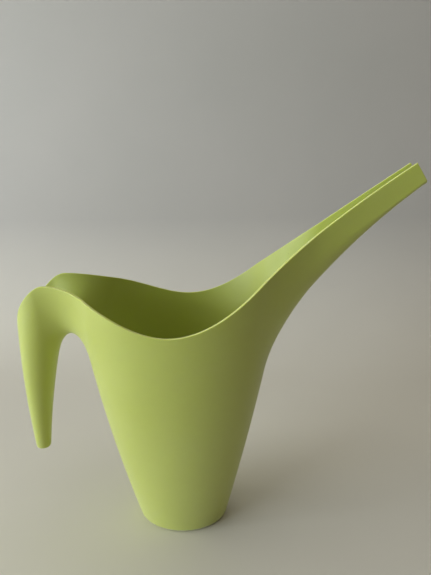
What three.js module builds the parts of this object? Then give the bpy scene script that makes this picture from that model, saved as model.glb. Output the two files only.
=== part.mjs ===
// A one-piece indoor watering can: a tapered oval pot that runs without a break into an open
// pouring spout on one side and a hollow horn handle on the other. Its rim is one closed curve.
//
// Frame: millimetres, +Z up, the can stands on z = 0, the spout points along +X, and the plane
// y = 0 is the mirror plane. The can is laid out with x = 0 at the centre of its foot, and the
// finished group is shifted so that the origin is under the middle of the whole can.
//
// Form: at side-view point (x, z) the outer skin stands at y = +-sqrt(q(x, z)). q is positive
// inside the side outline and zero on it. Pot, spout and horn each have a field of their own,
// and a soft maximum blends them, which gives the arch over the hand and the throat of the spout.

import * as THREE from 'three';
import { mergeVertices } from 'three/addons/utils/BufferGeometryUtils.js';

// ---------------------------------------------------------------- driving dimensions

const WALL = 2;                    // moulded wall, the same everywhere
const FOOT_RADIUS = 3.5;           // outer round between the side and the underside
const STANDING_RING = 5;           // width of the flat ring that the can stands on
const RECESS_DEPTH = 0.6;          // the underside inside the ring is lifted by this

const POT = {                      // oval sections at three heights
  heights: [0, 100, 200],
  centre: [0, 0.6, 3.2],           // x of the section's middle: it leans a little to the spout
  halfLength: [40.4, 64.6, 82.7],
  halfWidth: [29.5, 46, 59.8],
};

const HORN = {                     // the handle: a tapered hollow horn, closed below
  heights: [75, 150, 225],
  back: [-138.7, -139.1, -134.3],  // x of its outer edge
  front: [-124.5, -110.1, -88],    // x of its edge towards the pot
  halfWidth: [7, 15.5, 22.2],
  squareness: 2.08,                // 2 is an ellipse, more is squarer
  lowest: 66.3,                    // height of the flat lower end
  endRadius: 2.8,                  // outer round between the side and that end
  blend: 58.3,                     // reach of the blend into the pot
};

const SPOUT = {                    // an open channel with flat sides and a tight round below
  stations: [110, 150, 190],       // x along the underside
  underside: [220.7, 265.4, 301.1],  // z of the underside there
  angle: 45,                       // degrees, for measuring depth square to the underside
  tipHalfWidth: 6.9,               // at the bottom of the channel, at its open end
  throatHalfWidth: 17.7,           // and at the throat, from which it flares on into the pot
  throat: 101.5,                   // x of the throat
  draftAngle: 5,                   // degrees that each side leans outwards from there up
  tipRound: 3,                     // depth of the round along the bottom, at the open end
  throatRound: 28,                 // and at the throat
  blend: 56.6,                     // reach of the blend into the pot
  blendFrom: 21,                   // x where that blend starts to grow
  blendTo: 140,                    // and where it is whole
};

const RIM = {                      // side view of the rim, from the handle to the tip
  back: { z: 186.6, slope: 3.25 }, // where it ends behind the handle, on the horn's back
  turn: { x: -120, z: 219.5, slope: 1.06 },
  crest: { x: -101.8, z: 230.9, slope: 0 },
  shoulder: { x: -45, z: 215.5, slope: -0.413 },
  low: { x: 4, z: 201.8, slope: 0 },
  throat: { x: 69.5, z: 232.6, slope: 0.878 },
  tip: { x: 185.5, z: 320, slope: 0.683 },
};

const TIP_ANGLE = 33.7;            // degrees that the open end leans forward going down
const SPOUT_ROOT = 104;            // x of the plane where the spout zone takes over from the pot
const SEAM_DROP = 12;              // how far below the rim the zones' seam reaches the horn's back

// Facets along each zone.
const RIM_ROWS = 9;                // rows from the crown of the arch up to the rim
const END_ROWS = 4;                // rows over the round at the foot of the pot and of the horn
const POT_ROWS = 18;               // rows up to the crown, with those
const HORN_ROWS = 16;
const POT_COLUMNS = 32;
const HORN_COLUMNS = 14;
const SPOUT_COLUMNS = 14;

const LIME = 0xa9bb56;

// ---------------------------------------------------------------- small maths

const { lerp, degToRad } = THREE.MathUtils;

// The parabola through three values given at three places.
function parabola([p0, p1, p2], [v0, v1, v2], p) {
  return v0 * (p - p1) * (p - p2) / ((p0 - p1) * (p0 - p2))
    + v1 * (p - p0) * (p - p2) / ((p1 - p0) * (p1 - p2))
    + v2 * (p - p0) * (p - p1) / ((p2 - p0) * (p2 - p1));
}

// A cubic between two knots, each with its own slope.
function cubic(from, to, x) {
  const run = to.x - from.x;
  const u = (x - from.x) / run;
  const ease = u * u * (3 - 2 * u);
  return lerp(from.z, to.z, ease)
    + from.slope * run * u * (1 - u) * (1 - u)
    - to.slope * run * u * u * (1 - u);
}

// The larger of two fields, rounded off where they differ by less than the square of reach:
// the fields are squared half-widths.
function softMax(a, b, reach) {
  if (reach === 0) return Math.max(a, b);
  const limit = reach * reach;
  const near = Math.max(limit - Math.abs(a - b), 0) / limit;
  return Math.max(a, b) + near * near * limit / 4;
}

// Where f changes sign between inside (f > 0) and outside (f < 0).
function edge(f, inside, outside) {
  for (let i = 0; i < 60; i += 1) {
    const middle = (inside + outside) / 2;
    if (f(middle) > 0) inside = middle;
    else outside = middle;
  }
  return (inside + outside) / 2;
}

// ---------------------------------------------------------------- form

// How far a quarter round of the given radius draws the section in, height above its foot.
function roundInset(radius, height) {
  if (height >= radius) return 0;
  const left = radius - Math.max(height, 0);
  return radius - Math.sqrt(radius * radius - left * left);
}

function potField(x, z) {
  const inset = roundInset(FOOT_RADIUS, z);
  const a = parabola(POT.heights, POT.halfLength, z) - inset;
  const b = parabola(POT.heights, POT.halfWidth, z) - inset;
  const u = (x - parabola(POT.heights, POT.centre, z)) / a;
  return b * b * (1 - u * u);
}

function hornField(x, z) {
  const level = Math.max(z, HORN.lowest);
  const inset = roundInset(HORN.endRadius, level - HORN.lowest);
  const back = parabola(HORN.heights, HORN.back, level) + inset;
  const front = parabola(HORN.heights, HORN.front, level) - inset;
  const b = parabola(HORN.heights, HORN.halfWidth, level) - inset;
  const u = Math.abs(2 * x - back - front) / (front - back);
  return b * b * (1 - u ** HORN.squareness);
}

function spoutField(x, z) {
  const depth = (z - parabola(SPOUT.stations, SPOUT.underside, x))
    * Math.cos(degToRad(SPOUT.angle));
  const back = Math.max((RIM.tip.x - x) / (RIM.tip.x - SPOUT.throat), 0);
  const w = lerp(SPOUT.tipHalfWidth, SPOUT.throatHalfWidth, back * back);
  const roundDepth = lerp(SPOUT.tipRound, SPOUT.throatRound, back * back);
  const side = w + Math.tan(degToRad(SPOUT.draftAngle)) * Math.max(depth, 0);
  const round = Math.max(1 - depth / roundDepth, 0);
  return side * side - w * w * round * round;
}

function q(x, z) {
  const pot = potField(x, z);
  if (x < 0) return softMax(pot, hornField(x, z), HORN.blend);
  if (x < SPOUT.blendFrom) return pot;
  const growth = THREE.MathUtils.smoothstep(x, SPOUT.blendFrom, SPOUT.blendTo);
  return softMax(pot, spoutField(x, z), SPOUT.blend * growth);
}

// The rim ends on the horn's outer edge.
const RIM_BACK = { ...RIM.back, x: parabola(HORN.heights, HORN.back, RIM.back.z) };

// Height of the rim above x.
function rimHeight(x) {
  const { turn, crest, shoulder, low, throat, tip } = RIM;
  if (x < RIM_BACK.x) return RIM_BACK.z;
  if (x < turn.x) return cubic(RIM_BACK, turn, x);
  if (x < crest.x) return cubic(turn, crest, x);
  if (x < shoulder.x) return cubic(crest, shoulder, x);
  if (x < low.x) return cubic(shoulder, low, x);
  if (x < throat.x) return cubic(low, throat, x);
  return cubic(throat, tip, x);
}

function archOutline(x) {
  return edge((z) => q(x, z), RIM.crest.z, HORN.heights[1]);
}

// The crown is the highest point of the arch, between the horn's front and the pot's side.
function findCrown() {
  let low = HORN.front[1];
  let high = POT.centre[2] - POT.halfLength[2];
  for (let i = 0; i < 60; i += 1) {
    const a = lerp(low, high, 1 / 3);
    const b = lerp(low, high, 2 / 3);
    if (archOutline(a) < archOutline(b)) low = a;
    else high = b;
  }
  const x = (low + high) / 2;
  return { x, z: archOutline(x) };
}

const CROWN = findCrown();
const ROOT_Z = edge((z) => q(SPOUT_ROOT, z), rimHeight(SPOUT_ROOT), POT.heights[1]);

// ---------------------------------------------------------------- side-view grids
// A grid is rows of side-view points {x, z}. Every row of a zone has the same count.

// Cosine spacing: dense towards both ends, where the skin turns through the mirror plane.
const spread = (i, count) => (1 - Math.cos(Math.PI * i / count)) / 2;

// The seam row runs from behind the handle, over the crown, to the underside of the spout.
function seamHeight(x) {
  if (x < CROWN.x) {
    const u = (CROWN.x - x) / (CROWN.x - RIM_BACK.x);
    return lerp(CROWN.z, RIM_BACK.z - SEAM_DROP, u * u);
  }
  return lerp(CROWN.z, ROOT_Z, (x - CROWN.x) / (SPOUT_ROOT - CROWN.x));
}

// Share of the way from the seam to the rim. It grows as a square, because the skin opens
// fastest just above the crown and just above the underside of the spout.
const rise = (row) => (row / RIM_ROWS) ** 2;

// Share of the way up to the seam: quick steps over the round at the lower end, then steps that
// shrink towards the seam, where the outline turns over into the arch.
function lowerShare(row, endRows, rows, endShare) {
  if (row <= endRows) return endShare * (1 - Math.cos(Math.PI / 2 * row / endRows));
  const left = (rows - row) / (rows - endRows);
  return lerp(1, endShare, left * left);
}

function bandHeight(x, row) {
  return lerp(seamHeight(x), rimHeight(x), rise(row));
}

function row(height, from, to, columns) {
  const points = [];
  for (let i = 0; i <= columns; i += 1) {
    const x = lerp(from, to, spread(i, columns));
    points.push({ x, z: height(x) });
  }
  return points;
}

const outlineX = (height, inside, outside) => edge((x) => q(x, height(x)), inside, outside);
const HORN_MIDDLE = HORN.heights.map((_, i) => (HORN.back[i] + HORN.front[i]) / 2);
const BEHIND = Math.min(...HORN.back) - HORN.halfWidth[2];

function hornGrid() {
  const grid = [];
  const [middle] = HORN_MIDDLE;
  const endShare = HORN.endRadius / (CROWN.z - HORN.lowest);
  for (let j = 0; j < HORN_ROWS; j += 1) {
    const share = lowerShare(j, END_ROWS, HORN_ROWS, endShare);
    const height = (x) => lerp(HORN.lowest, seamHeight(x), share);
    const from = outlineX(height, middle, BEHIND);
    const to = outlineX(height, middle, CROWN.x);
    grid.push(row(height, from, to, HORN_COLUMNS));
  }
  for (let j = 0; j <= RIM_ROWS; j += 1) {
    const height = (x) => bandHeight(x, j);
    grid.push(row(height, outlineX(height, HORN_MIDDLE[1], BEHIND), CROWN.x, HORN_COLUMNS));
  }
  return grid;
}

function potGrid() {
  const grid = [];
  for (let j = 0; j < POT_ROWS; j += 1) {
    const share = lowerShare(j, END_ROWS, POT_ROWS, FOOT_RADIUS / CROWN.z);
    const height = (x) => share * seamHeight(x);
    grid.push(row(height, outlineX(height, 0, CROWN.x), outlineX(height, 0, SPOUT_ROOT),
      POT_COLUMNS));
  }
  for (let j = 0; j <= RIM_ROWS; j += 1) {
    grid.push(row((x) => bandHeight(x, j), CROWN.x, SPOUT_ROOT, POT_COLUMNS));
  }
  return grid;
}

const TIP_LEAN = Math.tan(degToRad(TIP_ANGLE));

// The spout's ribs turn from upright at its root to the lean of its open end.
function spoutGrid() {
  const tipX = (z) => RIM.tip.x + (RIM.tip.z - z) * TIP_LEAN;
  const lowest = edge((z) => q(tipX(z), z), RIM.tip.z, POT.heights[2]);
  const grid = [];
  for (let j = 0; j <= RIM_ROWS; j += 1) grid.push([]);
  for (let i = 0; i <= SPOUT_COLUMNS; i += 1) {
    const s = i / SPOUT_COLUMNS;
    const topX = lerp(SPOUT_ROOT, RIM.tip.x, s);
    const bottomX = lerp(SPOUT_ROOT, tipX(lowest), s);
    const bottomZ = edge((z) => q(bottomX, z), rimHeight(topX), POT.heights[1]);
    for (let j = 0; j <= RIM_ROWS; j += 1) {
      const share = rise(j);
      grid[j].push({
        x: lerp(bottomX, topX, share),
        z: lerp(bottomZ, rimHeight(topX), share),
      });
    }
  }
  return grid;
}

// ---------------------------------------------------------------- skins

// The outer skin's point and unit normal at a side-view point, on the side y >= 0.
function skin({ x, z }) {
  const step = 1e-3;
  const y = Math.sqrt(Math.max(q(x, z), 0));
  const lower = Math.max(z - step, x < CROWN.x ? HORN.lowest : 0);
  const normal = new THREE.Vector3(
    (q(x - step, z) - q(x + step, z)) / (2 * step),
    2 * y,
    (q(x, lower) - q(x, z + step)) / (z + step - lower),
  );
  return { point: new THREE.Vector3(x, y < 1e-4 ? 0 : y, z), normal: normal.normalize() };
}

// The inner skin's point: one wall in from the outer skin. Where the zone ends on a plane, the
// step inwards stays in that plane, so that neighbouring zones meet face to face.
function inward({ point, normal }, plane) {
  const direction = normal.clone();
  if (point.y === 0) direction.y = 0;
  if (plane) direction.projectOnPlane(plane);
  direction.normalize();
  return point.clone().addScaledVector(direction, -WALL);
}

const CROSS_PLANE = new THREE.Vector3(1, 0, 0);
const TIP_PLANE = new THREE.Vector3(1, 0, TIP_LEAN).normalize();

class Shell {
  constructor() {
    this.triangles = [];
  }

  triangle(a, b, c) {
    this.triangles.push(a, b, c);
    const mirrored = [a, c, b].map((p) => new THREE.Vector3(p.x, -p.y, p.z));
    this.triangles.push(...mirrored);
  }

  quad(a, b, c, d) {
    this.triangle(a, b, c);
    this.triangle(a, c, d);
  }

  // A strip between two lines of points; seen from outside, the second line is on the left.
  strip(first, second) {
    for (let i = 0; i + 1 < first.length; i += 1) {
      this.quad(first[i], first[i + 1], second[i + 1], second[i]);
    }
  }

  // A flat or shallow cap over a half loop whose ends are on the mirror plane.
  cap(loop, z, facingUp) {
    const centre = new THREE.Vector3((loop[0].x + loop[loop.length - 1].x) / 2, 0, z);
    for (let i = 0; i + 1 < loop.length; i += 1) {
      if (facingUp) this.triangle(centre, loop[i + 1], loop[i]);
      else this.triangle(centre, loop[i], loop[i + 1]);
    }
  }

  geometry() {
    const flat = [];
    const size = new THREE.Vector3();
    for (let i = 0; i < this.triangles.length; i += 3) {
      const [a, b, c] = this.triangles.slice(i, i + 3);
      size.crossVectors(b.clone().sub(a), c.clone().sub(a));
      if (size.length() > 1e-7) flat.push(...a, ...b, ...c);
    }
    const geometry = new THREE.BufferGeometry();
    geometry.setAttribute('position', new THREE.Float32BufferAttribute(flat, 3));
    return mergeVertices(geometry, 1e-4);
  }
}

// A zone of the can: its outer and inner skins, the rim between them along the last row, and
// the flat ends where the zone stops at a plane.
function zone(grid, { startPlane, endPlane }) {
  const shell = new Shell();
  const outer = grid.map((line) => line.map(skin));
  const last = grid[0].length - 1;
  const points = outer.map((line) => line.map((s) => s.point));
  const inner = outer.map((line, j) => line.map((s, i) => {
    const onStart = i === 0 && startPlane && startPlane.from <= j;
    const onEnd = i === last && endPlane && endPlane.from <= j;
    return inward(s, (onStart && startPlane.normal) || (onEnd && endPlane.normal));
  }));
  for (let j = 0; j + 1 < grid.length; j += 1) {
    shell.strip(points[j + 1], points[j]);
    shell.strip(inner[j], inner[j + 1]);
  }
  const top = grid.length - 1;
  shell.strip(inner[top], points[top]);
  if (startPlane) {
    const rows = [...grid.keys()].slice(startPlane.from);
    shell.strip(rows.map((j) => inner[j][0]), rows.map((j) => points[j][0]));
  }
  if (endPlane) {
    const rows = [...grid.keys()].slice(endPlane.from);
    shell.strip(rows.map((j) => points[j][last]), rows.map((j) => inner[j][last]));
  }
  return { shell, points, inner };
}

// ---------------------------------------------------------------- the zones

function handle() {
  const grid = hornGrid();
  const { shell, points, inner } = zone(grid, {
    endPlane: { normal: CROSS_PLANE, from: HORN_ROWS },
  });
  shell.cap(points[0], HORN.lowest, false);
  shell.cap(inner[0], HORN.lowest + WALL, true);
  return shell.geometry();
}

// A half loop drawn in from the foot's outline by a constant distance, at height z.
function footLoop(loop, inset, z) {
  const centre = (loop[0].x + loop[loop.length - 1].x) / 2;
  const a = (loop[loop.length - 1].x - loop[0].x) / 2;
  const b = Math.max(...loop.map((p) => p.y));
  return loop.map((p) => new THREE.Vector3(
    centre + (p.x - centre) * (1 - inset / a),
    p.y * (1 - inset / b),
    z,
  ));
}

function pot() {
  const seam = POT_ROWS;
  const grid = potGrid();
  const { shell, points, inner } = zone(grid, {
    startPlane: { normal: CROSS_PLANE, from: seam },
    endPlane: { normal: CROSS_PLANE, from: seam },
  });
  const ring = footLoop(points[0], STANDING_RING, 0);
  const recess = footLoop(points[0], STANDING_RING + RECESS_DEPTH, RECESS_DEPTH);
  shell.strip(points[0], ring);
  shell.strip(ring, recess);
  shell.cap(recess, RECESS_DEPTH, false);
  shell.cap(inner[0], WALL, true);
  return shell.geometry();
}

function spout() {
  const { shell } = zone(spoutGrid(), {
    startPlane: { normal: CROSS_PLANE, from: 0 },
    endPlane: { normal: TIP_PLANE, from: 0 },
  });
  return shell.geometry();
}

// ---------------------------------------------------------------- the can

const can = new THREE.Group();

function add(name, geometry) {
  const material = new THREE.MeshStandardMaterial({ color: LIME, roughness: 0.45, metalness: 0 });
  const mesh = new THREE.Mesh(geometry, material);
  mesh.name = name;
  can.add(mesh);
}

add('pot', pot());
add('spout', spout());
add('handle', handle());

const box = new THREE.Box3().setFromObject(can);
can.position.x = -(box.min.x + box.max.x) / 2;

export default can;
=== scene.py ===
"""Looks of a one-piece watering can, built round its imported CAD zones.

The three zones (pot, spout, handle) are one moulding, so a single seamless skin stands for them.
Its form is worked out in millimetres, with y = 0 as the mirror plane and x = 0 at the middle of
the foot. At side-view point (x, z) the outer skin stands at y = +-sqrt(skin_field(x, z)).
"""

import math

import bpy
import numpy as np
from mathutils import Euler, Matrix, Vector


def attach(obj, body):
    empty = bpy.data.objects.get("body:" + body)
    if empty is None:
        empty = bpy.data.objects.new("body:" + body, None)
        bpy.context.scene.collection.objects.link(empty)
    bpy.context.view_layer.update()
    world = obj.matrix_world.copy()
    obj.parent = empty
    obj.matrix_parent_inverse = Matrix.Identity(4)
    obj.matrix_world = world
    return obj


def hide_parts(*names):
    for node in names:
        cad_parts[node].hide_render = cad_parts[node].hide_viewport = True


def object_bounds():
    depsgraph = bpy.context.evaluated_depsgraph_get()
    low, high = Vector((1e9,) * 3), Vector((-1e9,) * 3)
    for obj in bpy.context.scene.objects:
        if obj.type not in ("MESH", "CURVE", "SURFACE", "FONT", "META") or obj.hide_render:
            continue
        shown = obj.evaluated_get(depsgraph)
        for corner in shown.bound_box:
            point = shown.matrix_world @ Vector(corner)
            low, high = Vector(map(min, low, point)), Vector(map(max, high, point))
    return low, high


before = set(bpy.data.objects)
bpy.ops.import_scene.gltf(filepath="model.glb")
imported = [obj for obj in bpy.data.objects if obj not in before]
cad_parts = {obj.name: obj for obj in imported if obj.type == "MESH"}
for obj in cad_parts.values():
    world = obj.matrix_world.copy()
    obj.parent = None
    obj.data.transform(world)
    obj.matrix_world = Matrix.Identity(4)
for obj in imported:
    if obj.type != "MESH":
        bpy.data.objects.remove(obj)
cad_low, cad_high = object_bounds()

# ---------------------------------------------------------------- the form, in millimetres

MM = 0.001
WALL = 2.0
LIP = 0.6  # height of the rounded edge over the end of the wall
LIP_SQUARENESS = 4.5  # 2 is a half round, more is flatter on top

FOOT_RADIUS = 3.5
STANDING_RING = 5.0
RING_EDGE_RUN = 0.3  # the small slopes where the ring meets the recess
RING_EDGE_RISE = 0.1
RECESS_DEPTH = 0.6

# The pot: ovals at three heights, joined by parabolas.
POT_HEIGHTS = (0, 100, 200)
POT_CENTRE = (0, 0.6, 3.2)
POT_HALF_LENGTH = (40.4, 64.6, 82.7)
POT_HALF_WIDTH = (29.5, 46, 59.8)

# The horn of the handle: its back, front and half width at three heights.
HORN_HEIGHTS = (75, 150, 225)
HORN_BACK = (-138.7, -139.1, -134.3)
HORN_FRONT = (-124.5, -110.1, -88)
HORN_HALF_WIDTH = (7, 15.5, 22.2)
HORN_SQUARENESS = 2.08
HORN_LOWEST = 66.3
HORN_END_RADIUS = 2.8
HORN_BLEND = 58.3

# The spout: its underside at three stations along x, and its section at the throat and the tip.
SPOUT_STATIONS = (110, 150, 190)
SPOUT_UNDERSIDE = (220.7, 265.4, 301.1)
SPOUT_ANGLE = math.radians(45)
SPOUT_TIP_HALF_WIDTH = 6.9
SPOUT_THROAT_HALF_WIDTH = 17.7
SPOUT_THROAT = 101.5
SPOUT_SIDE_DRAFT = math.tan(math.radians(5))
SPOUT_TIP_ROUND = 3
SPOUT_THROAT_ROUND = 28
SPOUT_BLEND = 56.6
SPOUT_BLEND_FROM = 21
SPOUT_BLEND_TO = 140
SPOUT_ROOT = 104

# Rim knots: x, z and slope in the side view.
TURN = (-120, 219.5, 1.06)
CREST = (-101.8, 230.9, 0)
SHOULDER = (-45, 215.5, -0.413)
LOW = (4, 201.8, 0)
THROAT = (69.5, 232.6, 0.878)
TIP = (185.5, 320, 0.683)
RIM_BACK_HEIGHT = 186.6
RIM_BACK_SLOPE = 3.25
TIP_LEAN = math.tan(math.radians(33.7))
SEAM_DROP = 12

# Faces along each stretch of the half skin.
BAND_ROWS = 48
LIP_ROWS = 8
END_ROWS = 10
POT_ROWS = 84
HORN_ROWS = 72
HORN_COLUMNS = 44
POT_COLUMNS = 132
SPOUT_COLUMNS = 84
UNDERSIDE_SHARES = (0.7, 0.4, 0.15, 0)  # rows of the recess, as shares of its reach

# Tolerances and counts of the workings.
TINY = 1e-9
HALVINGS = 50
CROWN_SAMPLES = 4001
SLOPE_STEP = 1e-3
ON_MIRROR_PLANE = 1e-3
WELD_DECIMALS = 4


# ---------------------------------------------------------------- small maths


def lerp(a, b, share):
    return a + (b - a) * share


def parabola(places, values, p):
    """The parabola through three values, at place p."""
    (p0, p1, p2), (v0, v1, v2) = places, values
    return (
        v0 * (p - p1) * (p - p2) / ((p0 - p1) * (p0 - p2))
        + v1 * (p - p0) * (p - p2) / ((p1 - p0) * (p1 - p2))
        + v2 * (p - p0) * (p - p1) / ((p2 - p0) * (p2 - p1))
    )


def cubic(start, end, x):
    """A cubic between two rim knots, each with its own slope."""
    (x0, z0, slope0), (x1, z1, slope1) = start, end
    run = x1 - x0
    u = (x - x0) / run
    ends = lerp(z0, z1, u * u * (3 - 2 * u))
    return ends + slope0 * run * u * (1 - u) ** 2 - slope1 * run * u * u * (1 - u)


def smooth_step(value, start, end):
    u = np.clip((value - start) / (end - start), 0, 1)
    return u * u * (3 - 2 * u)


def soft_max(a, b, reach):
    """The larger of two fields, rounded off where they differ by less than reach squared."""
    limit = np.maximum(reach * reach, TINY)
    near = np.maximum(limit - np.abs(a - b), 0) / limit
    return np.maximum(a, b) + near * near * limit / 4


def edge(f, inside, outside):
    """Where f changes sign between inside (f > 0) and outside; both may be arrays."""
    inside, outside = np.broadcast_arrays(np.float64(inside), np.float64(outside))
    for _ in range(HALVINGS):
        middle = (inside + outside) / 2
        is_in = f(middle) > 0
        inside = np.where(is_in, middle, inside)
        outside = np.where(is_in, outside, middle)
    return (inside + outside) / 2


def spread(count):
    """Shares from 0 to 1, dense at both ends, where the skin turns through the mirror plane."""
    return (1 - np.cos(np.pi * np.arange(count + 1) / count)) / 2


# ---------------------------------------------------------------- fields
# A field is the square of the half width at side-view point (x, z), and negative outside the form.


def round_inset(radius, height):
    """How far a rounded lower end has drawn in at this height above it."""
    left = np.clip(radius - height, 0, radius)
    return radius - np.sqrt(radius * radius - left * left)


def pot_field(x, z):
    inset = round_inset(FOOT_RADIUS, z)
    half_length = parabola(POT_HEIGHTS, POT_HALF_LENGTH, z) - inset
    half_width = parabola(POT_HEIGHTS, POT_HALF_WIDTH, z) - inset
    along = (x - parabola(POT_HEIGHTS, POT_CENTRE, z)) / half_length
    return half_width * half_width * (1 - along * along)


def horn_field(x, z):
    level = np.maximum(z, HORN_LOWEST)
    inset = round_inset(HORN_END_RADIUS, level - HORN_LOWEST)
    back = parabola(HORN_HEIGHTS, HORN_BACK, level) + inset
    front = parabola(HORN_HEIGHTS, HORN_FRONT, level) - inset
    half_width = parabola(HORN_HEIGHTS, HORN_HALF_WIDTH, level) - inset
    along = np.abs(2 * x - back - front) / (front - back)
    return half_width * half_width * (1 - along**HORN_SQUARENESS)


def spout_field(x, z):
    depth = (z - parabola(SPOUT_STATIONS, SPOUT_UNDERSIDE, x)) * math.cos(SPOUT_ANGLE)
    back = np.maximum((TIP[0] - x) / (TIP[0] - SPOUT_THROAT), 0)
    half_width = lerp(SPOUT_TIP_HALF_WIDTH, SPOUT_THROAT_HALF_WIDTH, back * back)
    round_depth = lerp(SPOUT_TIP_ROUND, SPOUT_THROAT_ROUND, back * back)
    side = half_width + SPOUT_SIDE_DRAFT * np.maximum(depth, 0)
    bottom = np.maximum(1 - depth / round_depth, 0)
    return side * side - half_width * half_width * bottom * bottom


def skin_field(x, z):
    """The whole can: the pot, with the handle's horn behind it and the spout in front."""
    pot = pot_field(x, z)
    with_horn = soft_max(pot, horn_field(x, z), HORN_BLEND)
    growth = smooth_step(x, SPOUT_BLEND_FROM, SPOUT_BLEND_TO)
    with_spout = soft_max(pot, spout_field(x, z), SPOUT_BLEND * growth)
    return np.select([x < 0, x < SPOUT_BLEND_FROM], [with_horn, pot], with_spout)


def rim_height(x):
    """Height of the rim over x, along the cubics between its knots."""
    x = np.maximum(x, RIM_KNOTS[0][0])
    ends = RIM_KNOTS[1:]
    heights = [cubic(start, end, x) for start, end in zip(RIM_KNOTS, ends)]
    return np.select([x <= end[0] for end in ends], heights, heights[-1])


def find_crown():
    """The highest point of the arch between the handle and the pot."""
    x = np.linspace(HORN_FRONT[1], POT_CENTRE[2] - POT_HALF_LENGTH[2], CROWN_SAMPLES)
    z = edge(lambda h: skin_field(x, h), np.full_like(x, CREST[1]), np.full_like(x, HORN_HEIGHTS[1]))
    top = int(np.argmax(z))
    return float(x[top]), float(z[top])


# The rim ends behind the handle, on the horn's outer edge.
RIM_BACK_X = parabola(HORN_HEIGHTS, HORN_BACK, RIM_BACK_HEIGHT)
RIM_BACK = (RIM_BACK_X, RIM_BACK_HEIGHT, RIM_BACK_SLOPE)
RIM_KNOTS = (RIM_BACK, TURN, CREST, SHOULDER, LOW, THROAT, TIP)
CROWN_X, CROWN_Z = find_crown()
ROOT_Z = float(edge(lambda z: skin_field(SPOUT_ROOT, z), rim_height(SPOUT_ROOT), POT_HEIGHTS[1]))
HORN_MIDDLE = (HORN_BACK[0] + HORN_FRONT[0]) / 2
BEHIND = min(HORN_BACK) - HORN_HALF_WIDTH[2]  # an x that is clear of the handle's back


# ---------------------------------------------------------------- skin points


def skin(side):
    """Points and unit normals of the outer skin, y >= 0, at side-view points (..., 2)."""
    x, z = side[..., 0], side[..., 1]
    step = SLOPE_STEP
    y = np.sqrt(np.maximum(skin_field(x, z), 0))
    y = np.where(y < ON_MIRROR_PLANE, 0, y)
    lower = np.maximum(z - step, np.where(x < CROWN_X, HORN_LOWEST, 0))
    normal = np.stack(
        [
            (skin_field(x - step, z) - skin_field(x + step, z)) / (2 * step),
            2 * y,
            (skin_field(x, lower) - skin_field(x, z + step)) / (z + step - lower),
        ],
        axis=-1,
    )
    normal /= np.linalg.norm(normal, axis=-1, keepdims=True)
    return np.stack([x, y, z], axis=-1), normal


def rim_line():
    """Side-view rim points, one for each column from behind the handle to the spout's end."""
    horn = lerp(RIM_BACK_X, CROWN_X, spread(HORN_COLUMNS))
    pot = lerp(CROWN_X, SPOUT_ROOT, spread(POT_COLUMNS))
    spout = np.linspace(SPOUT_ROOT, TIP[0], SPOUT_COLUMNS + 1)
    x = np.concatenate([horn, pot[1:], spout[1:]])
    return np.stack([x, rim_height(x)], axis=-1)


def edge_frames(points, normals):
    """Directions that point out over a free edge, square to the edge and to the normal.

    Past both ends the edge goes on as its own mirror image. At a corner a direction is as long as
    the mitre there, and elsewhere it is about 1 long.
    """
    mirrored = points[[1, -2]] * (1, -1, 1)
    line = np.concatenate([mirrored[:1], points, mirrored[1:]])
    ahead = line[2:] - line[1:-1]
    behind = line[1:-1] - line[:-2]
    ahead /= np.linalg.norm(ahead, axis=1, keepdims=True)
    behind /= np.linalg.norm(behind, axis=1, keepdims=True)
    along = ahead + behind
    along /= np.linalg.norm(along, axis=1, keepdims=True)
    out = np.cross(along, normals)
    out /= np.linalg.norm(out, axis=1, keepdims=True)
    mitre = 1 / np.sum(along * ahead, axis=1)
    return out * mitre[:, None]


def tip_x(z):
    """x of the spout's open end, drawn back by the lip that covers it."""
    return TIP[0] + (TIP[1] - z) * TIP_LEAN - LIP * math.hypot(1, TIP_LEAN)


def lowered_rim():
    """The rim line drawn down over the skin by the height of the lip.

    Behind the handle, where the skin faces back, the points are put back on the outline. The last
    point lies where the lowered line meets the drawn-back open end of the spout.
    """
    line = rim_line()
    points, normals = skin(line)
    out = edge_frames(points, normals)
    out[0] = (0, 0, 1)
    out[-1] = out[-2]
    low = points - LIP * out
    lowered = low[:, [0, 2]]
    on_back = (np.abs(normals[:, 0]) > np.abs(normals[:, 1])) & (low[:, 0] < CROWN_X)
    x, y, z = low[on_back].T
    lowered[on_back, 0] = edge(lambda x: skin_field(x, z) - y * y, np.full_like(x, TURN[0]), BEHIND)
    lowered[-1, 1] = edge(
        lambda z: (z - lowered[-2, 1]) - TIP[2] * (tip_x(z) - lowered[-2, 0]),
        TIP[1],
        lowered[-2, 1],
    )
    lowered[-1, 0] = tip_x(lowered[-1, 1])
    return lowered


# ---------------------------------------------------------------- side-view grids
# A grid is an array (rows, columns, 2) of side-view points.


def seam_height(x):
    """The seam runs from behind the handle, over the crown, to the underside of the spout."""
    u = (CROWN_X - x) / (CROWN_X - RIM_BACK_X)
    left = lerp(CROWN_Z, RIM_BACK_HEIGHT - SEAM_DROP, u * u)
    right = lerp(CROWN_Z, ROOT_Z, (x - CROWN_X) / (SPOUT_ROOT - CROWN_X))
    return np.where(x < CROWN_X, left, right)


def lower_shares(rows, end_share):
    """Shares of the way up to the seam: quick over the round lower end, then shrinking."""
    over_end = end_share * (1 - np.cos(np.pi / 2 * np.arange(END_ROWS) / END_ROWS))
    left = (rows - np.arange(END_ROWS, rows)) / (rows - END_ROWS)
    return np.concatenate([over_end, lerp(1, end_share, left * left)])


def lower_grid(heights, inside, left_of, right_of, columns):
    """Rows between the outlines on both sides. heights is one function of x for each row."""
    rows = []
    for height in heights:
        from_x = edge(lambda x: skin_field(x, height(x)), inside, left_of)
        to_x = edge(lambda x: skin_field(x, height(x)), inside, right_of)
        x = lerp(from_x, to_x, spread(columns))
        rows.append(np.stack([x, height(x)], axis=-1))
    return np.array(rows)


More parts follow.
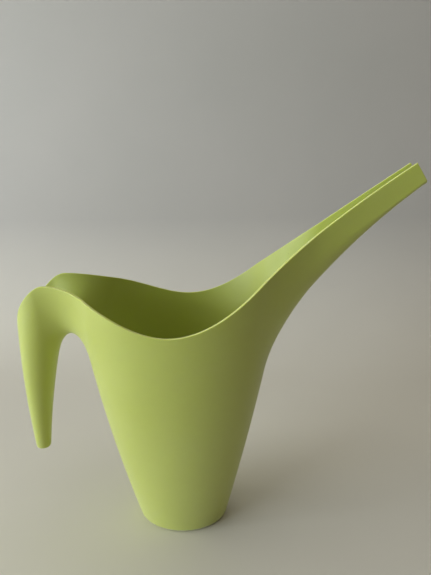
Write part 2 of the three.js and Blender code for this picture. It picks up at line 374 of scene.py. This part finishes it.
def pot_grid():
    shares = lower_shares(POT_ROWS, FOOT_RADIUS / CROWN_Z)
    heights = [lambda x, s=s: s * seam_height(x) for s in shares]
    return lower_grid(heights, 0, CROWN_X, SPOUT_ROOT, POT_COLUMNS)


def horn_grid():
    shares = lower_shares(HORN_ROWS, HORN_END_RADIUS / (CROWN_Z - HORN_LOWEST))
    heights = [lambda x, s=s: lerp(HORN_LOWEST, seam_height(x), s) for s in shares]
    return lower_grid(heights, HORN_MIDDLE, BEHIND, CROWN_X, HORN_COLUMNS)


def seam_line(rim):
    """The lower end of each column: the seam, and then the underside of the spout."""
    back = edge(lambda x: skin_field(x, seam_height(x)), HORN_MIDDLE, BEHIND)
    horn = lerp(back, CROWN_X, spread(HORN_COLUMNS))
    pot = lerp(CROWN_X, SPOUT_ROOT, spread(POT_COLUMNS))
    end_z = edge(lambda z: skin_field(tip_x(z), z), TIP[1], POT_HEIGHTS[2])
    spout = np.linspace(SPOUT_ROOT, tip_x(end_z), SPOUT_COLUMNS + 1)
    top = rim[-SPOUT_COLUMNS - 1 :, 1]
    under = edge(lambda z: skin_field(spout, z), top, np.full_like(top, POT_HEIGHTS[1]))
    x = np.concatenate([horn, pot[1:], spout[1:]])
    z = np.concatenate([seam_height(horn), seam_height(pot[1:]), under[1:]])
    return np.stack([x, z], axis=-1)


def band_grid():
    """From the seam up to the lowered rim, along the whole can."""
    rim = lowered_rim()
    shares = ((np.arange(BAND_ROWS + 1) / BAND_ROWS) ** 2)[:, None, None]
    grid = lerp(seam_line(rim), rim, shares)
    horn = grid[:, : HORN_COLUMNS + 1]
    outline = edge(lambda x: skin_field(x, horn[..., 1]), HORN_MIDDLE, BEHIND)
    depth = horn[..., 0] - outline
    on_outline = outline + lerp(depth[0], depth[-1], shares[..., 0])
    horn[..., 0] = lerp(on_outline, horn[..., 0], spread(HORN_COLUMNS))
    return grid


# ---------------------------------------------------------------- the mesh


def inward(points, normals):
    """The inner skin: one wall in from the outer one, and in the mirror plane where that is."""
    direction = normals.copy()
    direction[..., 1] = np.where(points[..., 1] == 0, 0, direction[..., 1])
    direction /= np.linalg.norm(direction, axis=-1, keepdims=True)
    return points - WALL * direction


class Patches:
    """Collects four-sided patches of points, mirrors them and welds them into one mesh."""

    def __init__(self):
        self.points = []
        self.worn = []
        self.faces = []
        self.count = 0

    def add(self, points, flip=False, worn=0):
        """A patch (rows, columns, 3); seen from its front, rows go up and columns to the right.

        The last argument says how much painted highlight its points carry, from 0 to 1: one number,
        or one for each point.
        """
        rows, columns = points.shape[:2]
        index = np.arange(rows * columns).reshape(rows, columns) + self.count
        a, b = index[:-1, :-1], index[:-1, 1:]
        c, d = index[1:, 1:], index[1:, :-1]
        quads = np.stack([a, b, c, d], axis=-1).reshape(-1, 4)
        self.faces.append(quads[:, ::-1] if flip else quads)
        self.points.append(points.reshape(-1, 3))
        self.worn.append(np.broadcast_to(worn, (rows, columns)).reshape(-1))
        self.count += rows * columns

    def mesh(self, name):
        """Both halves in one mesh, in metres, with the points that coincide welded."""
        half = np.concatenate(self.points)
        faces = np.concatenate(self.faces)
        both = np.concatenate([half, half * (1, -1, 1)])
        faces = np.concatenate([faces, faces[:, ::-1] + len(half)])
        _, first, same = np.unique(
            np.round(both, WELD_DECIMALS) + 0.0, axis=0, return_index=True, return_inverse=True
        )
        corners = [list(dict.fromkeys(face)) for face in same.reshape(-1)[faces].tolist()]
        mesh = bpy.data.meshes.new(name)
        mesh.from_pydata((both[first] * MM).tolist(), [], [c for c in corners if len(c) > 2])
        mesh.polygons.foreach_set("use_smooth", [True] * len(mesh.polygons))
        # Each point keeps its share of the painted highlight for the material.
        worn = np.tile(np.concatenate(self.worn), 2)[first]
        mesh.attributes.new("worn", "FLOAT", "POINT").data.foreach_set("value", worn)
        mesh.update()
        return mesh


def lip_rows(points, normals):
    """The rounded edge over the end of the wall, from the outer skin to the inner one."""
    inner = inward(points, normals)
    middle = (points + inner) / 2
    out = edge_frames(points, normals)
    angle = np.linspace(0, np.pi, LIP_ROWS + 1)[:, None, None]
    power = 2 / LIP_SQUARENESS
    across = np.sign(np.cos(angle)) * np.abs(np.cos(angle)) ** power
    over = np.abs(np.sin(angle)) ** power
    rows = middle + across * (points - middle) + over * LIP * out
    rows[0] = points
    rows[-1] = inner
    rows[..., 1] = np.where(points[..., 1] == 0, 0, rows[..., 1])
    return rows


def foot_rows(outline):
    """The underside, from the foot's outline over the standing ring to the middle."""
    middle = outline[[0, -1], 0].mean()
    reach = np.array([outline[-1, 0] - middle, outline[:, 1].max()])
    steps = [
        (0, 0),
        (STANDING_RING - RING_EDGE_RUN, 0),
        (STANDING_RING, RING_EDGE_RISE),
        (STANDING_RING + RECESS_DEPTH, RECESS_DEPTH - RING_EDGE_RISE),
        (STANDING_RING + RECESS_DEPTH + RING_EDGE_RUN, RECESS_DEPTH),
    ]
    rows = []
    for inset, height in steps:
        flat = (outline[:, :2] - (middle, 0)) * (1 - inset / reach) + (middle, 0)
        rows.append(np.column_stack([flat, np.full(len(flat), height)]))
    recess = rows[-1][:, :2]
    for share in UNDERSIDE_SHARES:
        flat = (recess - (middle, 0)) * share + (middle, 0)
        rows.append(np.column_stack([flat, np.full(len(flat), RECESS_DEPTH)]))
    return np.array(rows)


def close_end(line, centre):
    """A patch from a centre point out to a line round it."""
    return np.stack([np.broadcast_to(centre, line.shape), line])


def can_mesh():
    """The whole wall: its outer and inner skins, the lip between them, the foot and both floors."""
    patches = Patches()
    band, band_normals = skin(band_grid())
    pot, pot_normals = skin(pot_grid())
    horn, horn_normals = skin(horn_grid())

    # Columns that run along the mirror plane lie exactly in it, so that both halves weld.
    band[0, HORN_COLUMNS + POT_COLUMNS :, 1] = 0
    band[:, 0, 1] = 0
    for lower in (pot, horn):
        lower[:, [0, -1], 1] = 0

    # The pot and the horn end at the first row of the band above them.
    seam_at_horn = slice(HORN_COLUMNS + 1)
    seam_at_pot = slice(HORN_COLUMNS, HORN_COLUMNS + POT_COLUMNS + 1)
    pot = np.concatenate([pot, band[:1, seam_at_pot]])
    pot_normals = np.concatenate([pot_normals, band_normals[:1, seam_at_pot]])
    horn = np.concatenate([horn, band[:1, seam_at_horn]])
    horn_normals = np.concatenate([horn_normals, band_normals[:1, seam_at_horn]])
    for points, normals in ((band, band_normals), (pot, pot_normals), (horn, horn_normals)):
        patches.add(points, flip=True)
        patches.add(inward(points, normals))

    # The free edge runs along the rim and then down the open end of the spout.
    free = np.concatenate([band[-1], band[-2::-1, -1]])
    free_normals = np.concatenate([band_normals[-1], band_normals[-2::-1, -1]])
    # The lip carries the painted highlight, strongest over the top of the edge.
    over = np.sin(np.linspace(0, np.pi, LIP_ROWS + 1))[:, None]
    patches.add(lip_rows(free, free_normals), flip=True, worn=over)

    patches.add(foot_rows(pot[0]))
    floor = inward(pot, pot_normals)[0]
    patches.add(close_end(floor, (floor[[0, -1], 0].mean(), 0, WALL)))
    patches.add(close_end(horn[0], (horn[0, [0, -1], 0].mean(), 0, HORN_LOWEST)), flip=True)
    bottom = inward(horn, horn_normals)[0]
    patches.add(close_end(bottom, (bottom[[0, -1], 0].mean(), 0, HORN_LOWEST + WALL)))
    return patches.mesh("can")


# ---------------------------------------------------------------- node helpers


class Nodes:
    """Short calls for building one material's nodes."""

    def __init__(self, name):
        self.material = bpy.data.materials.new(name)
        self.material.use_nodes = True
        self.tree = self.material.node_tree
        self.tree.nodes.clear()

    def new(self, kind, inputs=None, **settings):
        """A node with its settings, and each input set to a value or linked to a socket."""
        node = self.tree.nodes.new(kind)
        for key, value in settings.items():
            setattr(node, key, value)
        for key, value in (inputs or {}).items():
            if isinstance(value, bpy.types.NodeSocket):
                self.tree.links.new(value, node.inputs[key])
            else:
                node.inputs[key].default_value = value
        return node

    def noise(self, vector, scale, detail=3, roughness=0.5):
        """Noise of about 0 to 1, with scale lumps to the metre."""
        inputs = {"Vector": vector, "Scale": scale, "Detail": detail, "Roughness": roughness}
        return self.new("ShaderNodeTexNoise", inputs).outputs["Fac"]

    def remap(self, value, span, to=(0, 1)):
        """The value moved from one span to another, and held between its ends."""
        inputs = {
            "Value": value,
            "From Min": span[0],
            "From Max": span[1],
            "To Min": to[0],
            "To Max": to[1],
        }
        return self.new("ShaderNodeMapRange", inputs, clamp=True).outputs["Result"]

    def math(self, operation, a, b):
        return self.new("ShaderNodeMath", {0: a, 1: b}, operation=operation).outputs[0]

    def mix(self, factor, a, b):
        """Colour a, turning into colour b as factor goes from 0 to 1."""
        node = self.new("ShaderNodeMix", {0: factor, 6: a, 7: b}, data_type="RGBA")
        return node.outputs[2]

    def output(self, shader):
        self.new("ShaderNodeOutputMaterial", {"Surface": shader.outputs[0]})
        return self.material


def rgb(red, green, blue):
    """A linear colour from screen values 0 to 255."""

    def linear(value):
        share = value / 255
        return share / 12.92 if share <= 0.04045 else ((share + 0.055) / 1.055) ** 2.4

    return (linear(red), linear(green), linear(blue), 1)


# ---------------------------------------------------------------- materials


def lime_colour(nodes, place):
    """Even lime with faint clouds, a few dark specks, and a paler lip that is a painted highlight
    where light catches the rim.
    """
    cloudy = nodes.remap(nodes.noise(place, scale=14, detail=4), (0.35, 0.65))
    colour = nodes.mix(cloudy, rgb(193, 202, 97), rgb(190, 199, 91))
    cells = nodes.new("ShaderNodeTexVoronoi", {"Vector": place, "Scale": 60, "Randomness": 1})
    dots = nodes.remap(cells.outputs["Distance"], (0.02, 0.045), (1, 0))
    here_and_there = nodes.remap(nodes.noise(place, scale=35, detail=1), (0.62, 0.64), (0, 0.45))
    specks = nodes.math("MULTIPLY", dots, here_and_there)
    colour = nodes.mix(specks, colour, rgb(96, 92, 52))
    # The lip is painted paler, patchy by noise: a painted highlight along the rim.
    worn = nodes.new("ShaderNodeAttribute", attribute_name="worn").outputs["Fac"]
    unevenly = nodes.remap(nodes.noise(place, scale=25), (0.3, 0.6), (0.3, 0.75))
    return nodes.mix(nodes.math("MULTIPLY", worn, unevenly), colour, rgb(226, 232, 138))


def moulded_bump(nodes, place):
    """A fine grain over a slight ripple, a few hundredths of a millimetre deep."""
    grain = nodes.noise(place, scale=5200, detail=2)
    ripple = nodes.noise(place, scale=320)
    height = nodes.math("ADD", grain, nodes.math("MULTIPLY", ripple, 1.5))
    inputs = {"Height": height, "Strength": 0.25, "Distance": 0.06 * MM}
    return nodes.new("ShaderNodeBump", inputs).outputs[0]


def lime_plastic():
    """Satin moulded plastic, a little translucent, with streaks where it has been handled."""
    nodes = Nodes("lime_plastic")
    place = nodes.new("ShaderNodeTexCoord").outputs["Object"]
    colour = lime_colour(nodes, place)
    upright = nodes.new("ShaderNodeMapping", {"Vector": place, "Scale": (1, 1, 0.15)}).outputs[0]
    streaks = nodes.noise(upright, scale=120, detail=5, roughness=0.6)
    inputs = {
        "Base Color": colour,
        "Roughness": nodes.remap(streaks, (0.3, 0.7), (0.44, 0.54)),
        "Normal": moulded_bump(nodes, place),
        "IOR": 1.49,
        "Sheen Weight": 0.35,
        "Sheen Roughness": 0.5,
        "Subsurface Weight": 1.0,
        "Subsurface Radius": (1.0, 1.0, 0.5),
        "Subsurface Scale": WALL * MM,
    }
    return nodes.output(nodes.new("ShaderNodeBsdfPrincipled", inputs))


def backdrop_paint():
    """Matt pale paint with a barely uneven coat, a shade deeper on the wall than on the floor."""
    nodes = Nodes("backdrop_paint")
    place = nodes.new("ShaderNodeTexCoord").outputs["Object"]
    uneven = nodes.remap(nodes.noise(place, scale=3), (0.3, 0.7))
    floor = nodes.mix(uneven, rgb(228, 224, 207), rgb(223, 219, 203))
    wall = nodes.mix(uneven, rgb(188, 185, 175), rgb(183, 181, 171))
    height = nodes.new("ShaderNodeSeparateXYZ", {0: place}).outputs["Z"]
    up_the_cove = nodes.remap(height, (0.005, 0.2))
    inputs = {"Base Color": nodes.mix(up_the_cove, floor, wall), "Roughness": 0.75}
    return nodes.output(nodes.new("ShaderNodeBsdfPrincipled", inputs))


# ---------------------------------------------------------------- the scene, in metres

FLOOR_FRONT = -2.4
WALL_BACK = 0.75
WALL_HEIGHT = 2.6
STAGE_HALF_WIDTH = 3.0
COVE_RADIUS = 0.5
COVE_STEPS = 24

CAMERA_ASIDE = 0.0340  # towards the spout
CAMERA_IN_FRONT = 0.2898  # before the can's near side
CAMERA_ABOVE = 0.0043  # over the can's top
CAMERA_PITCH = math.radians(-16.04)
CAMERA_YAW = math.radians(4.31)
CAMERA_ROLL = math.radians(-1.29)
CAMERA_LENS = 27.55


def add_to_scene(name, data):
    item = bpy.data.objects.new(name, data)
    bpy.context.scene.collection.objects.link(item)
    return item


def build_can():
    """The skin, moved along until the tip of the spout touches the end of the CAD box."""
    mesh = can_mesh()
    foremost = max(v.co.x for v in mesh.vertices)
    mesh.transform(Matrix.Translation((cad_high.x - foremost, 0, 0)))
    mesh.materials.append(lime_plastic())
    can = add_to_scene("can", mesh)
    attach(can, "root")
    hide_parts("pot", "spout", "handle")


def build_backdrop():
    """A floor that curves up into a wall behind the can."""
    profile = [(FLOOR_FRONT, 0), (WALL_BACK - COVE_RADIUS, 0)]
    for step in range(1, COVE_STEPS + 1):
        angle = math.pi / 2 * step / COVE_STEPS
        y = WALL_BACK - COVE_RADIUS + COVE_RADIUS * math.sin(angle)
        profile.append((y, COVE_RADIUS * (1 - math.cos(angle))))
    profile.append((WALL_BACK, WALL_HEIGHT))
    points = [(side * STAGE_HALF_WIDTH, y, z) for y, z in profile for side in (-1, 1)]
    faces = [(i, i + 1, i + 3, i + 2) for i in range(0, len(points) - 2, 2)]
    mesh = bpy.data.meshes.new("backdrop")
    mesh.from_pydata(points, [], faces)
    mesh.polygons.foreach_set("use_smooth", [True] * len(mesh.polygons))
    mesh.materials.append(backdrop_paint())
    add_to_scene("backdrop", mesh)


def area_light(name, place, size, power, colour=(1, 1, 1)):
    """A rectangular lamp that faces the middle of the can."""
    data = bpy.data.lights.new(name, "AREA")
    data.shape = "RECTANGLE"
    data.size, data.size_y = size
    data.energy = power
    data.color = colour
    light = add_to_scene(name, data)
    light.location = place
    aim = Vector((0, 0, cad_high.z / 2)) - Vector(place)
    light.rotation_euler = aim.to_track_quat("-Z", "Y").to_euler()


def build_light():
    """A low window-like panel on the left, softer ones above, and a weak warm surround."""
    area_light("window", (-1.56, -0.9, 0.3), size=(1.1, 0.9), power=31.5, colour=(0.77, 0.86, 1))
    area_light("upper_window", (-1.79, -0.16, 1.0), size=(1.1, 1.1), power=9)
    area_light("ceiling", (0, 0, 2.1), size=(1.6, 1.6), power=9)
    world = bpy.data.worlds.new("surround")
    world.use_nodes = True
    background = world.node_tree.nodes["Background"]
    background.inputs["Color"].default_value = (1, 0.83, 0.69, 1)
    background.inputs["Strength"].default_value = 0.11
    bpy.context.scene.world = world


def build_camera():
    """At the height of the can's own top, a little to the spout's side, looking slightly down."""
    data = bpy.data.cameras.new("camera")
    data.lens = CAMERA_LENS
    data.clip_start = 0.01
    camera = add_to_scene("camera", data)
    place = Vector((CAMERA_ASIDE, cad_low.y - CAMERA_IN_FRONT, cad_high.z + CAMERA_ABOVE))
    turn = Euler((math.pi / 2 + CAMERA_PITCH, 0, CAMERA_YAW)).to_matrix().to_4x4()
    roll = Matrix.Rotation(CAMERA_ROLL, 4, "Z")
    camera.matrix_world = Matrix.Translation(place) @ turn @ roll
    bpy.context.scene.camera = camera


bpy.context.scene.view_settings.view_transform = "Standard"
build_can()
build_backdrop()
build_light()
build_camera()
